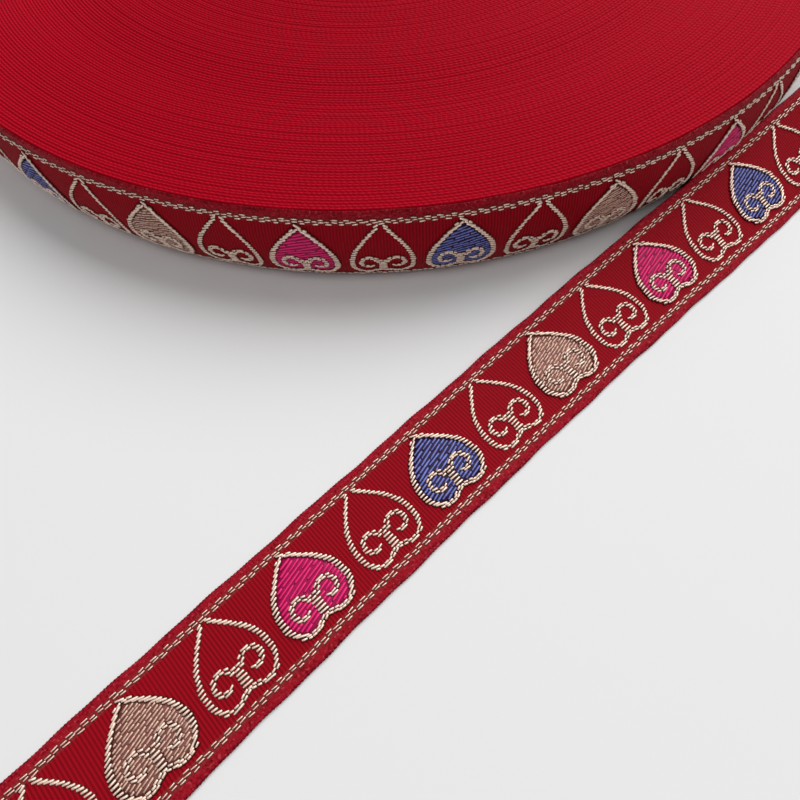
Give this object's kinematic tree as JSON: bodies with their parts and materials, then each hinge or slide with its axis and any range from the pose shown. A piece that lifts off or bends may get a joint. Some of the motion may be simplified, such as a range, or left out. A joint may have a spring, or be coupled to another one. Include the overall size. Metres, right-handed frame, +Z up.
{
  "type": "roll of woven ribbon",
  "caption": "Flat wound roll of red woven jacquard ribbon with scrolled hearts and metallic borders, its loose end pulled out beside it.",
  "frame": {"origin": "under the middle of the whole object's box, on the surface that the roll lies on", "axes": "+Z up, along the roll's axis and the ribbon's standing width; the loose end lies towards -Y"},
  "size_m": [0.2192, 0.2824, 0.0163],
  "materials": {
    "woven_ribbon": "satin-faced woven cloth with fine ribs across its width",
    "metallic_thread": "pale champagne metallic yarn",
    "pink_thread": "glossy pink pattern yarn",
    "blue_thread": "glossy blue pattern yarn"
  },
  "bodies": {
    "root": {"wound_roll": "woven_ribbon", "loose_end": "woven_ribbon"}
  },
  "joints": []
}
